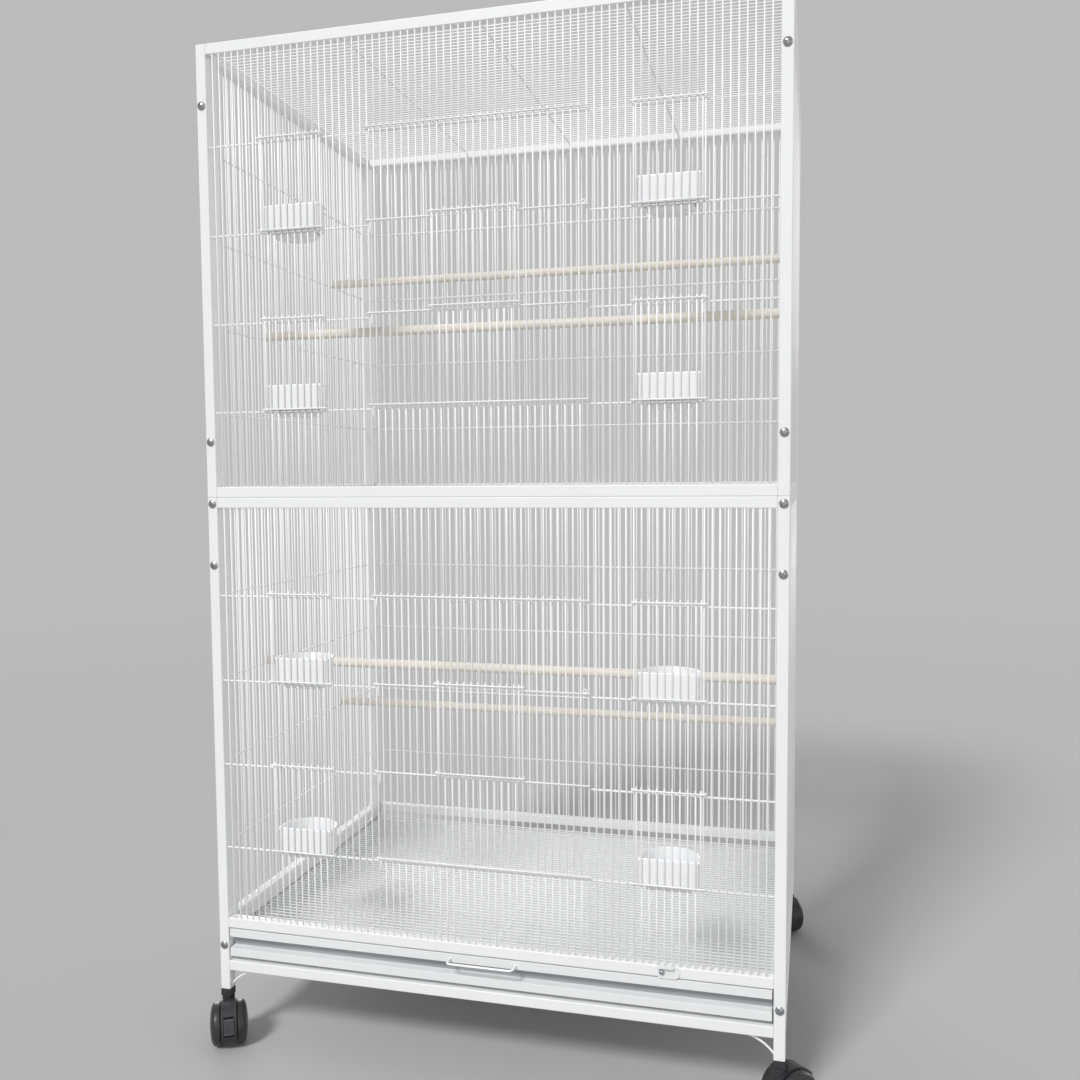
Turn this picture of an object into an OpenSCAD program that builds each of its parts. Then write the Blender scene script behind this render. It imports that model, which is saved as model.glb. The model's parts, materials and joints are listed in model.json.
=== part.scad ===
// Indoor aviary: two framed wire sections stacked on a wheeled base.
// Millimetres, +Z up, front towards -Y, origin on the floor under the middle.

/* [Cage] */
// Distance between neighbouring upright wires
pitch = 10; // [8:0.5:12]
// Number of wire gaps across the front
gaps_wide = 78; // [74:2:90]
// Number of wire gaps across a side panel
gaps_deep = 52; // [46:2:60]
// Height of one framed section
panel_h = 630; // [600:1:700]
// Height of the lowest level wire above the section's bottom edge
level_first = 120; // [90:1:130]
// Height from one level wire to the next
level_step = 123; // [110:1:125]
// Side of the square frame tube
tube = 15; // [12:1:20]

/* [Wires] */
// Thickness of the upright wires
bar_d = 2.2; // [1.8:0.1:2.6]
// Thickness of the level wires
level_d = 2.8; // [2.4:0.1:3.2]
// Depth that crossing wires sink into each other at a weld
weld = 0.3; // [0.2:0.05:0.4]
// Depth of the outer wires behind the frames' outer faces
wire_inset = 0.5; // [0.3:0.1:6]
// Number of cross wires over the ceiling; the floor has two more
cross_wires = 3; // [3:1:7]
// Running gap between a sliding wire door and the wires it slides on
run = 0.5; // [0.4:0.05:0.7]

/* [Feeders] */
// Gaps between the side frame and the nearest upright wire of a feeder opening
feeder_edge_left = 8; // [6:1:10]
// The same on the right side
feeder_edge_right = 9; // [6:1:10]
// Gaps across a feeder opening
feeder_gaps = 9; // [9:1:11]
// Height of a feeder door's top wire above the level wire over it
feeder_rise = 5; // [4.5:0.5:7]
// Width of the feeder cup over its rim
cup_w = 81; // [76:1:82]
// Width of the narrow lower part of the cup
cup_low_w = 60; // [50:1:62]
// Height of the cup above the level wire
cup_rise = 37; // [30:1:50]
// Depth of the cup's lower part below the level wire
cup_drop = 8; // [5:1:14]
// Straight part of the cup before its half-round back
cup_straight = 10; // [6:1:16]
// Wall of the cup
cup_wall = 2; // [1.5:0.25:2.5]
// Width of the lip round the cup's rim
cup_lip = 1.2; // [0.8:0.1:2]

/* [Doors] */
// Gaps across the main door
door_gaps = 30; // [26:2:32]
// Gaps across the small door in the main door
inner_gaps = 12; // [10:2:14]
// Height of the main door's level wires above the fixed ones
door_rise = 6; // [5.5:0.5:8]
// Height of the small door's wires above the main door's wires
inner_rise = 5; // [4.2:0.2:7]
// Length of upright wire beyond a door's end wires
door_tail = 4; // [2:0.5:4.5]
// Outer radius of the hinge eyes
hinge_eye_r = 3.3; // [3:0.1:3.6]
// Radial clearance of the hinge eyes on their rod
hinge_clear = 0.06; // [0.04:0.01:0.1]

/* [Perches] */
// Diameter of the dowels
perch_d = 14; // [12:1:18]
// Depth of the notch that sits on a level wire
perch_notch = 2.5; // [1:0.5:4]
// Distance of the upper back perch from the front face
perch_1_y = 425; // [300:1:450]
// Distance of the upper front perch from the front face
perch_2_y = 175; // [130:1:260]
// Distance of the lower front perch from the front face
perch_3_y = 150; // [130:1:260]
// Distance of the lower back perch from the front face
perch_4_y = 425; // [300:1:450]

/* [Base] */
// Height of the rail under the tray
foot_rail_h = 15; // [15:1:30]
// Height of the opening for the tray
tray_open_h = 49.5; // [44:0.5:60]
// Length of leg below the foot rail
leg_drop = 29.5; // [28:0.5:60]
// Sheet thickness of the tray and its runners
sheet = 1.5; // [1:0.1:2]
// Height of the tray's walls
tray_wall_h = 33; // [20:1:34]
// Clearance beside the tray
tray_clear = 0.5; // [0.4:0.1:1]
// Width of the tray handle between its legs
handle_w = 94; // [70:1:140]
// Reach of the tray handle
handle_reach = 17; // [14:1:18]
// Thickness of the handle wire
handle_d = 3; // [2.5:0.25:5]
// Thickness of the corner brace wire
brace_d = 3; // [2:0.25:4]
// Reach of a corner brace along the foot rail
brace_run = 44; // [30:1:50]

/* [Latch] */
// Width of the latch tab
latch_w = 16.5; // [12:0.5:17]
// Length of the latch tab
latch_l = 29; // [24:1:32]
// Distance of the latch from the right frame post
latch_from_right = 143; // [90:1:200]

/* [Screws] */
// Diameter of the frame screws' heads
head_d = 11.5; // [9:0.5:12]
// Diameter of the latch screw's head
latch_head_d = 7; // [7:0.5:10]
// Diameter of the screw shanks
shank_d = 4; // [3:0.5:5]
// Height of the upper section's lower screws above its bottom edge
screw_low = 79; // [60:1:120]
// Distance of the upper section's upper screws below its top edge
screw_high = 84; // [60:1:120]
// Distance of the lower section's middle screws below its top edge
screw_mid = 97; // [60:1:120]
// Distance of the lower section's top screws below its top edge
screw_seam = 9; // [7:1:12]
// Radial clearance of the screw holes
hole_clear = 0.1; // [0.06:0.02:0.2]

/* [Casters] */
// Radius of the caster wheels
wheel_r = 30.5; // [28:0.5:36]
// Overall width of a twin wheel
twin_w = 54; // [52:1:66]
// Width of the hood between the wheels
hood_w = 22; // [21:1:26]
// Distance from the stem to the axle
trail = 17; // [16:1:22]
// Diameter of the stem
stem_d = 8; // [6:1:9]
// Diameter of the axle
axle_d = 6; // [5:0.5:8]
// Height of the plug collar under each leg
collar_h = 10; // [8:1:20]
// Radial running clearance of stems, axles and pins
fit = 0.05; // [0.03:0.01:0.1]
// Direction of the front left caster, turned from straight back
swivel_left = -150; // [-180:1:180]
// Direction of the front right caster, turned from straight back
swivel_right = -45; // [-180:1:180]

/* [Hidden] */

// Colours
coat = "whitesmoke";
wood = "burlywood";
zinc = "silver";
cup_plastic = "aliceblue";
hood_plastic = "dimgray";
tyre_plastic = "darkslategray";

// Overall sizes
inner_w = gaps_wide * pitch;
cage_w = inner_w + 2 * tube;
side_inner = gaps_deep * pitch;
side_d = side_inner + 2 * tube;
cage_d = side_d + 2 * tube;
front_y = -cage_d / 2;
post_y = front_y + tube / 2;
post_x = cage_w / 2 - tube / 2;
bar_y = front_y + wire_inset + bar_d / 2;
bar_x = cage_w / 2 - wire_inset - bar_d / 2;

// Casters, bottom to top
hood_gap = 2.5;
hood_r = wheel_r + hood_gap;
caster_h = 2 * wheel_r + hood_gap + 2.5;
leg_z = caster_h + collar_h;
foot_rail_z = leg_z + leg_drop;
tray_open_z = foot_rail_z + foot_rail_h;
lower_z = tray_open_z + tray_open_h;
upper_z = lower_z + panel_h;
top_z = upper_z + panel_h;

// Wires: eight-sided, welded corner to corner
wire_fn = 8;
level_off = (bar_d + level_d) / 2 - weld;
same_off = bar_d - weld;
levels = 4;
function bar_at(k) = -inner_w / 2 + k * pitch;
function level_at(base, n) = base + level_first + (n - 1) * level_step;

// Door columns, counted in wires from the left post
main_l = (gaps_wide - door_gaps) / 2;
main_r = main_l + door_gaps;
inner_l = (gaps_wide - inner_gaps) / 2;
inner_r = inner_l + inner_gaps;
feed_cols = [feeder_edge_left, gaps_wide - feeder_edge_right - feeder_gaps];
function in_feeder(k) = max([for (c = feed_cols) k > c && k < c + feeder_gaps ? 1 : 0]) > 0;
function in_main(k) = k > main_l && k < main_r;

// Door planes, measured forward from the plane of the fixed upright wires
door_off = bar_d + run;
door_level_off = door_off + same_off;
inner_off = door_level_off + bar_d + run;
inner_level_off = inner_off + same_off;
hinge_off = weld + 0.05;
eye_wire = bar_d;
eye_hole = bar_d / 2 + run;
hinge_rod_r = bar_d / 2;

// Screw heights, measured from a section's bottom edge
upper_screws = [screw_low, panel_h - screw_high];
lower_screws = [-tray_open_h / 2 - 2, panel_h - screw_mid, panel_h - screw_seam];
screw_grip = 10;

// Tray
tray_z = tray_open_z + 2;
tray_top = lower_z - 1.5;
tray_half = inner_w / 2 - sheet - tray_clear;
tray_back = side_d / 2 - 4;
seat = 0.3;

module upright(d, h) {
    cylinder(d = d, h = h, $fn = wire_fn);
}

module along_x(d, l) {
    rotate([0, 90, 0]) cylinder(d = d, h = l, $fn = wire_fn);
}

module along_y(d, l) {
    rotate([-90, 0, 0]) cylinder(d = d, h = l, $fn = wire_fn);
}

// Square tube frame standing on the X axis, w wide and h high
module ring_frame(w, h) {
    difference() {
        translate([-w / 2, 0, 0]) cube([w, tube, h]);
        translate([-w / 2 + tube, -1, tube]) cube([w - 2 * tube, tube + 2, h - 2 * tube]);
    }
}

// Base part of a lower frame: posts, foot rail and the tray opening
module base_frame(w, drop) {
    h = lower_z - foot_rail_z;
    translate([-w / 2, 0, foot_rail_z]) cube([w, tube, foot_rail_h]);
    for (side = [-1, 1]) {
        translate([side * (w - tube) / 2 - tube / 2, 0, foot_rail_z - drop]) cube([tube, tube, h + drop]);
    }
}

module screw_holes(heights, base, depth) {
    for (side = [-1, 1], h = heights) {
        translate([side * post_x, 0, base + h]) rotate([-90, 0, 0])
            cylinder(r = shank_d / 2 + hole_clear, h = depth, $fn = 24);
    }
}

plug_in = 24;
plug_clear = 0.2;
plug_wall = 1;

// Front frame of a section, its front face on y = front_y
module front_frame(base, heights, latched = false) {
    translate([0, front_y, 0]) difference() {
        union() {
            translate([0, 0, base]) ring_frame(cage_w, panel_h);
            if (base == lower_z) base_frame(cage_w, leg_drop);
        }
        translate([0, -1, 0]) screw_holes(heights, base, tube + 2);
        if (latched) translate([latch_x, -1, latch_z]) rotate([-90, 0, 0])
            cylinder(r = shank_d / 2 + hole_clear, h = latch_grip + 2, $fn = 24);
        if (base == lower_z) {
            for (side = [-1, 1]) {
                translate([side * post_x - tube / 2 + plug_wall, plug_wall, leg_z - 1])
                    cube([tube - 2 * plug_wall, tube - 2 * plug_wall, plug_in + 2]);
            }
        }
    }
}

module side_frame(base, heights, side) {
    translate([side * post_x, 0, 0]) difference() {
        rotate([0, 0, 90]) translate([0, -tube / 2, 0]) union() {
            translate([0, 0, base]) ring_frame(side_d, panel_h);
            if (base == lower_z) base_frame(side_d, 0);
        }
        for (end = [-1, 1], h = heights) {
            translate([0, end * side_d / 2, base + h]) rotate([end * 90, 0, 0])
                translate([0, 0, -1]) cylinder(r = shank_d / 2 + hole_clear, h = screw_grip + 3, $fn = 24);
        }
    }
}

// Where one upright wire of the front runs, as pairs of bottom and top
function runs(k, base) =
    let (lo = base + tube, hi = base + panel_h - tube, e = level_d / 2)
    in_feeder(k) ? [[lo, level_at(base, 1) + e], [level_at(base, 2) - e, level_at(base, 3) + e],
                    [level_at(base, 4) - e, hi]]
    : in_main(k) ? [[lo, level_at(base, 1) + e], [level_at(base, 4) - e, hi]]
    : [[lo, hi]];

module front_grille(base) {
    for (k = [1:gaps_wide - 1], part = runs(k, base)) {
        if (k != main_l) translate([bar_at(k), bar_y, part[0]]) upright(bar_d, part[1] - part[0]);
    }
    for (n = [1, levels]) {
        translate([-inner_w / 2, bar_y + level_off, level_at(base, n)]) along_x(level_d, inner_w);
    }
    for (n = [2:levels - 1]) {
        translate([-inner_w / 2, bar_y + level_off, level_at(base, n)])
            along_x(level_d, bar_at(main_l) + bar_d / 2 + inner_w / 2);
        translate([bar_at(main_r) - bar_d / 2, bar_y + level_off, level_at(base, n)])
            along_x(level_d, inner_w / 2 - bar_at(main_r) + bar_d / 2);
    }
    translate([bar_at(main_l), bar_y - hinge_off, base + tube])
        cylinder(r = hinge_rod_r, h = panel_h - 2 * tube, $fn = 24);
}

module back_grille(base) {
    for (k = [1:gaps_wide - 1]) {
        translate([bar_at(k), -bar_y, base + tube]) upright(bar_d, panel_h - 2 * tube);
    }
    for (n = [1:levels]) {
        translate([-inner_w / 2, -bar_y - level_off, level_at(base, n)]) along_x(level_d, inner_w);
    }
}

module side_grille(base, side) {
    for (k = [1:gaps_deep - 1]) {
        translate([side * bar_x, -side_inner / 2 + k * pitch, base + tube]) upright(bar_d, panel_h - 2 * tube);
    }
    for (n = [1:levels]) {
        translate([side * (bar_x - level_off), -side_inner / 2, level_at(base, n)])
            along_y(level_d, side_inner);
    }
}

// Wires along X over cross wires along Y, w wide and from y = front to y = back
module deck(w, front, back, first_cross, n_cross) {
    rows = round((back - front) / pitch) - 1;
    step = (back - front) / (rows + 1);
    gap = 2 * first_cross / (n_cross - 1);
    for (k = [1:rows]) {
        translate([-w / 2, front + k * step, 0]) along_x(bar_d, w);
    }
    for (k = [0:n_cross - 1]) {
        translate([-first_cross + k * gap, front, -level_off]) along_y(level_d, back - front);
    }
}

// The ceiling's cross wires lie on top
module ceiling_grille() {
    edge = inner_w / 2 - inner_w / (cross_wires + 1);
    color(coat) translate([0, 0, top_z - wire_inset - level_d / 2 - level_off]) mirror([0, 0, 1])
        deck(inner_w, -side_d / 2, side_d / 2, edge, cross_wires);
}

// The floor grille lies loose on the upper flanges of the runners, behind the tray's front
module floor_grille() {
    half = inner_w / 2 - sheet - seat;
    color(coat) translate([0, 0, grate_z])
        deck(2 * half, front_y + groove_back + 3, side_d / 2 - seat, half - 3, cross_wires + 2);
}

runner_flange = 12;
guide_flange = 8;
guide_z = tray_z + tray_wall_h + 2;
grate_z = guide_z + sheet + seat + level_d / 2 + level_off;

module tray_runners() {
    color(coat) for (side = [0, 1]) mirror([side, 0, 0]) {
        translate([inner_w / 2 - sheet, -side_d / 2, foot_rail_z + 4])
            cube([sheet, side_d, grate_z + bar_d - foot_rail_z - 4]);
        translate([inner_w / 2 - runner_flange, -side_d / 2, tray_z - seat - sheet])
            cube([runner_flange, side_d, sheet]);
        translate([inner_w / 2 - guide_flange, front_y + groove_back + 3, guide_z])
            cube([guide_flange, side_d / 2 - front_y - groove_back - 3, sheet]);
        translate([inner_w / 2 - runner_flange, side_d / 2 - sheet, tray_z - seat - sheet])
            cube([runner_flange, sheet, tray_wall_h + 2]);
    }
}

// Corner brace between a leg and the foot rail, an arc of wire
brace_fall = 23;
brace_r = 60;

module brace() {
    chord = sqrt(brace_run * brace_run + brace_fall * brace_fall);
    back = sqrt(brace_r * brace_r - chord * chord / 4);
    cx = -brace_run / 2 - back * brace_fall / chord;
    cz = -brace_fall / 2 - back * brace_run / chord;
    intersection() {
        translate([cx, 0, cz]) rotate([90, 0, 0]) rotate_extrude($fn = 64)
            translate([brace_r, 0]) circle(d = brace_d, $fn = 24);
        translate([-brace_run - 10, -brace_d, -brace_fall - 10])
            cube([brace_run + 10, 2 * brace_d, brace_fall + 10]);
    }
}

module leg_braces() {
    color(coat) for (turn = [0, 1], side = [0, 1]) rotate([0, 0, 180 * turn]) mirror([side, 0, 0])
        translate([inner_w / 2, post_y, foot_rail_z]) brace();
}

module leg_plugs() {
    spigot = tube - 2 * plug_wall - 2 * plug_clear;
    color(hood_plastic) for (side = [-1, 1], end = [-1, 1]) {
        translate([side * post_x, end * post_y, 0]) difference() {
            union() {
                translate([-tube / 2, -tube / 2, caster_h]) cube([tube, tube, collar_h]);
                translate([-spigot / 2, -spigot / 2, leg_z - 1]) cube([spigot, spigot, plug_in]);
            }
            translate([0, 0, caster_h - 1]) cylinder(r = stem_d / 2 + fit, h = stem_top - caster_h + 2, $fn = 32);
        }
    }
}

stem_top = leg_z + 14;

// Pan head with a cross recess, on a plain shank along +Z below the head
module screw(head, length) {
    edge = 1.2;
    rise = 2;
    r = head / 2;
    dome_r = (r * r + rise * rise) / (2 * rise);
    slot = 1.3;
    difference() {
        union() {
            intersection() {
                cylinder(r = r, h = edge + rise, $fn = 48);
                translate([0, 0, edge + rise - dome_r]) sphere(r = dome_r, $fn = 48);
            }
            translate([0, 0, -length]) cylinder(d = shank_d, h = length + 0.5, $fn = 24);
        }
        for (a = [0, 90]) {
            rotate([0, 0, a]) translate([-head * 0.28, -slot / 2, rise - 0.4]) cube([head * 0.56, slot, 3]);
        }
    }
}

module screw_rows(base, heights) {
    for (side = [-1, 1], end = [0, 1], h = heights) {
        rotate([0, 0, 180 * end]) translate([side * post_x, front_y, base + h]) rotate([90, 0, 0])
            screw(head_d, tube + screw_grip);
    }
}

latch_x = inner_w / 2 - latch_from_right;
latch_z = lower_z + tube / 2;
latch_t = 1.6;
latch_gap = 0.3;
latch_grip = 10;

module screws() {
    color(zinc) {
        screw_rows(upper_z, upper_screws);
        screw_rows(lower_z, lower_screws);
        translate([latch_x, front_y - latch_t - 2 * latch_gap, latch_z]) rotate([90, 0, 0])
            screw(latch_head_d, latch_grip + latch_t + 2 * latch_gap);
    }
}

// Feeder places, numbered from the top row: left and right of each row
function feed_base(i) = i < 4 ? upper_z : lower_z;
function feed_level(i) = level_at(feed_base(i), floor(i / 2) % 2 == 0 ? 3 : 1);
function feed_left(i) = bar_at(feed_cols[i % 2]);
feed_w = feeder_gaps * pitch;
cup_face = bar_y + level_off + level_d / 2 + 0.6;
body_face = bar_y - door_off + bar_d / 2 + seat;
cup_over = cup_face - body_face;
ring_w = cup_low_w + level_d + 4;

module at_feeder(i) {
    translate([feed_left(i) + feed_w / 2, 0, feed_level(i)]) children();
}

// Outline with a flat front of width w and a half-round back
module d_shape(w, straight) {
    intersection() {
        union() {
            translate([-w / 2, 0]) square([w, straight]);
            translate([0, straight]) circle(d = w, $fn = 96);
        }
        translate([-w, 0]) square([2 * w, straight + w]);
    }
}

module feeder_cup(i) {
    floor_z = level_d / 2 + seat;
    body_w = cup_w - 2 * cup_lip;
    color(cup_plastic) at_feeder(i) translate([0, cup_face, 0]) difference() {
        union() {
            translate([0, -cup_over, floor_z]) linear_extrude(cup_rise - floor_z)
                d_shape(body_w, cup_straight + cup_over);
            translate([0, -cup_over, cup_rise - 3]) linear_extrude(3)
                d_shape(cup_w, cup_straight + cup_over);
            translate([0, 0, -cup_drop]) linear_extrude(cup_drop + floor_z + 1)
                d_shape(cup_low_w, cup_straight);
        }
        translate([0, cup_wall - cup_over, floor_z + cup_wall]) linear_extrude(cup_rise)
            d_shape(body_w - 2 * cup_wall, cup_straight + cup_over - cup_wall);
        translate([0, cup_wall, cup_wall - cup_drop]) linear_extrude(cup_rise)
            d_shape(cup_low_w - 2 * cup_wall, cup_straight - cup_wall);
    }
}

// Wire loops that carry the cups, welded to the back of the level wires
module cup_ring() {
    start = bar_y + level_off + level_d / 2 + 0.05;
    straight = cup_face + cup_straight - start;
    for (side = [-1, 1]) {
        translate([side * ring_w / 2, start, 0]) rotate([-90, 0, 0]) cylinder(d = level_d, h = straight, $fn = 24);
    }
    translate([0, start + straight, 0]) rotate_extrude(angle = 180, $fn = 64)
        translate([ring_w / 2, 0]) circle(d = level_d, $fn = 24);
}

module cup_rings() {
    color(coat) for (i = [0:7]) at_feeder(i) cup_ring();
}

// Wire eye round an upright wire at the origin, closed by a wire at y = -reach
module eye(reach, hole, outer, fn) {
    difference() {
        union() {
            circle(r = outer, $fn = fn);
            translate([-outer, -reach - eye_wire / 2]) square([2 * outer, reach + eye_wire / 2]);
        }
        circle(r = hole, $fn = fn);
        translate([-hole, -reach + eye_wire / 2]) square([2 * hole, reach - eye_wire / 2]);
    }
}

// Slide-up wire door over an opening of n gaps, its left wire at x = 0
module wire_door(n, bars_off, wires_off, rail_off, low, high) {
    reach = wires_off - rail_off;
    outer = eye_hole + eye_wire;
    end_bar = outer - bar_d / 2 + 0.6;
    for (x = concat([end_bar, n * pitch - end_bar], [for (k = [1:n - 1]) k * pitch])) {
        translate([x, -bars_off, low - door_tail]) upright(bar_d, high - low + 2 * door_tail);
    }
    for (z = [low, high]) {
        translate([outer - 1, -wires_off, z]) along_x(bar_d, n * pitch - 2 * outer + 2);
        for (x = [0, n * pitch]) {
            translate([x, -rail_off, z - eye_wire / 2]) linear_extrude(eye_wire)
                eye(reach, eye_hole, outer, wire_fn);
        }
    }
}

// Lowest place of a sliding wire over the level wire under it
feeder_low = (level_d + bar_d) / 2 + run;

module feeder_door(i) {
    color(coat) translate([feed_left(i), bar_y, feed_level(i)])
        wire_door(feeder_gaps, door_off, door_level_off, 0, feeder_low, level_step + feeder_rise);
}

// Uprights of the main door, cut where the small door covers its opening
function main_runs(k, base) =
    let (lo = level_at(base, 1) + door_rise - door_tail, hi = level_at(base, 4) + door_rise + door_tail,
         e = bar_d / 2)
    k > inner_l && k < inner_r ? [[lo, level_at(base, 2) + door_rise + e],
                                  [level_at(base, 3) + door_rise - e, hi]]
    : [[lo, hi]];

hinge_eye_h = 5;
hinge_tail = 17;
catch_r = 3.4;

module main_door(base) {
    x0 = bar_at(main_l);
    x1 = bar_at(main_r);
    color(coat) {
        for (k = [main_l + 1:main_r - 1], part = main_runs(k, base)) {
            translate([bar_at(k), bar_y - door_off, part[0]]) upright(bar_d, part[1] - part[0]);
        }
        for (n = [1:levels]) translate([0, bar_y, level_at(base, n) + door_rise]) {
            translate([x0 + hinge_eye_r - 0.5, -door_level_off, 0])
                along_x(bar_d, x1 - x0 - hinge_eye_r + 0.5 + 2.5);
            translate([x0, -hinge_off, bar_d / 2 - hinge_eye_h]) linear_extrude(hinge_eye_h) difference() {
                union() {
                    circle(r = hinge_eye_r, $fn = 32);
                    translate([-hinge_eye_r, hinge_off - door_level_off - bar_d / 2])
                        square([2 * hinge_eye_r, door_level_off - hinge_off]);
                }
                circle(r = hinge_rod_r + hinge_clear, $fn = 32);
            }
            translate([x0 + hinge_eye_r + 0.2, -door_off, -hinge_tail]) upright(bar_d, hinge_tail);
        }
        translate([x1 - 4, bar_y - door_level_off + bar_d / 2, level_at(base, 3) + door_rise + catch_r])
            rotate([90, 0, 0]) linear_extrude(bar_d) difference() {
                circle(r = catch_r, $fn = 12);
                circle(r = catch_r - 1.8, $fn = 12);
            }
    }
}

module inner_door(base) {
    low = level_at(base, 2) + door_rise + inner_rise;
    color(coat) translate([bar_at(inner_l), bar_y, 0])
        wire_door(inner_gaps, inner_off, inner_level_off, door_off, low, low + level_step);
}

module perch(base, level, from_front) {
    reach = bar_x - bar_d / 2 - 0.4;
    wire_in = bar_x - level_off - level_d / 2 - seat;
    z = level_at(base, level) + level_d / 2 + seat + perch_d / 2 - perch_notch;
    color(wood) translate([0, front_y + from_front, z]) difference() {
        translate([-reach, 0, 0]) rotate([0, 90, 0]) cylinder(d = perch_d, h = 2 * reach, $fn = 48);
        for (side = [0, 1]) mirror([side, 0, 0]) {
            translate([wire_in, -perch_d, -perch_d]) cube([reach, 2 * perch_d, perch_d / 2 + perch_notch]);
        }
    }
}

// Front sheet of the tray: top strip, recessed groove, slope, lip and the wall behind
groove_back = 12;
strip_h = 10.5;
groove_h = 7;
slope_h = 9;
lip_lift = 5;

module tray_front_profile() {
    g = groove_back;
    t = sheet;
    z3 = tray_top - strip_h;
    z2 = z3 - groove_h;
    z1 = z2 - slope_h;
    z0 = tray_z + lip_lift;
    polygon([
        [g, tray_z], [g, z0], [0, z0], [0, z1], [g - t, z2], [g - t, z3 - t], [0, z3 - t], [0, tray_top],
        [g, tray_top], [g, tray_top - t], [t, tray_top - t], [t, z3], [g, z3],
        [g, z2], [t, z1 - t / 2], [t, z0 + t], [g + t, z0 + t], [g + t, tray_z]
    ]);
}

module tray() {
    rim = 4;
    inside_y = front_y + groove_back;
    color(coat) {
        translate([-tray_half, front_y, 0]) rotate([90, 0, 90]) linear_extrude(2 * tray_half)
            tray_front_profile();
        translate([-tray_half, inside_y, tray_z]) cube([2 * tray_half, tray_back - inside_y, sheet]);
        translate([-tray_half, tray_back - sheet, tray_z]) cube([2 * tray_half, sheet, tray_wall_h]);
        for (side = [0, 1]) mirror([side, 0, 0]) {
            translate([tray_half - sheet, inside_y, tray_z])
                cube([sheet, tray_back - inside_y, tray_wall_h]);
            translate([tray_half - rim, inside_y, tray_z + tray_wall_h - sheet])
                cube([rim, tray_back - inside_y, sheet]);
        }
    }
}

module tray_handle() {
    bend = 6;
    z = tray_top - strip_h + 4;
    color(coat) for (side = [0, 1]) mirror([side, 0, 0]) {
        translate([handle_w / 2, front_y - handle_reach + bend, z]) rotate([-90, 0, 0])
            cylinder(d = handle_d, h = handle_reach - bend, $fn = 24);
        translate([handle_w / 2 - bend, front_y - handle_reach + bend, z]) rotate([0, 0, -90])
            rotate_extrude(angle = 90, $fn = 48) translate([bend, 0]) circle(d = handle_d, $fn = 24);
        translate([0, front_y - handle_reach, z]) rotate([0, 90, 0])
            cylinder(d = handle_d, h = handle_w / 2 - bend, $fn = 24);
    }
}

// Latch tab turned aside, along the rail, with its flange on top
module latch_tab() {
    pivot = 5.5;
    flange = 5;
    round_x = latch_l - pivot - latch_w / 2;
    color(coat) translate([latch_x, front_y - latch_gap, latch_z]) {
        rotate([90, 0, 0]) linear_extrude(latch_t) difference() {
            union() {
                translate([-pivot, -latch_w / 2]) square([round_x + pivot, latch_w]);
                translate([round_x, 0]) circle(d = latch_w, $fn = 48);
            }
            circle(r = shank_d / 2 + fit, $fn = 32);
        }
        translate([-pivot, -latch_t - flange, latch_w / 2 - latch_t])
            cube([round_x + pivot, flange + 0.5, latch_t]);
    }
}

// Casters: index 0 front left, 1 front right, 2 back left, 3 back right
caster_side = [-1, 1, -1, 1];
caster_end = [-1, -1, 1, 1];
caster_turn = [swivel_left, swivel_right, swivel_right + 180, swivel_left + 180];
slot_w = 15;
slot_low = 24;
slot_top = 51;
slot_deep = 10;
lever_y = trail + hood_r - 6;
lever_z = slot_top - 6;
lever_pin = 1.25;

module at_caster(i) {
    translate([caster_side[i] * post_x, -caster_end[i] * post_y, 0]) rotate([0, 0, caster_turn[i]]) children();
}

module hood(has_brake) {
    cut_z = 12;
    boss_r = 9;
    difference() {
        union() {
            intersection() {
                translate([-hood_w / 2, trail, wheel_r]) rotate([0, 90, 0]) cylinder(r = hood_r, h = hood_w, $fn = 96);
                translate([-hood_w, trail - hood_r - 1, cut_z]) cube([2 * hood_w, 2 * hood_r + 2, 2 * hood_r]);
            }
            translate([0, 0, slot_top + 1]) cylinder(r = boss_r, h = caster_h - slot_top - 1, $fn = 48);
        }
        translate([-hood_w, trail, wheel_r]) rotate([0, 90, 0]) cylinder(r = axle_d / 2 + fit, h = 2 * hood_w, $fn = 32);
        if (has_brake) {
            translate([-slot_w / 2, trail + hood_r - slot_deep, slot_low])
                cube([slot_w, slot_deep + 1, slot_top - slot_low]);
        }
    }
    translate([0, 0, caster_h - 1]) cylinder(d = stem_d, h = stem_top - caster_h + 1, $fn = 32);
    if (has_brake) {
        translate([-slot_w / 2 - 1, lever_y, lever_z]) rotate([0, 90, 0]) cylinder(r = lever_pin, h = slot_w + 2, $fn = 24);
    }
}

// One wheel as half of its section: a flat tread, a crowned side and a blind bore
module wheel() {
    inner = hood_w / 2 + 0.6;
    w = twin_w / 2 - inner;
    r = wheel_r;
    bore = axle_d / 2 + fit;
    blind = inner + w * 0.6;
    rotate([0, 90, 0]) rotate_extrude($fn = 96) polygon([
        [bore, inner], [r - 1, inner], [r, inner + 1], [r, inner + w * 0.45], [r * 0.955, inner + w * 0.68],
        [r * 0.85, inner + w * 0.84], [r * 0.67, inner + w * 0.94], [r * 0.36, inner + w * 0.985],
        [0, inner + w], [0, blind], [bore, blind]
    ]);
}

module wheels() {
    translate([0, trail, wheel_r]) {
        for (side = [0, 1]) mirror([side, 0, 0]) wheel();
        reach = hood_w / 2 + (twin_w - hood_w) * 0.28;
        translate([-reach, 0, 0]) rotate([0, 90, 0]) cylinder(d = axle_d, h = 2 * reach, $fn = 32);
    }
}

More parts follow.
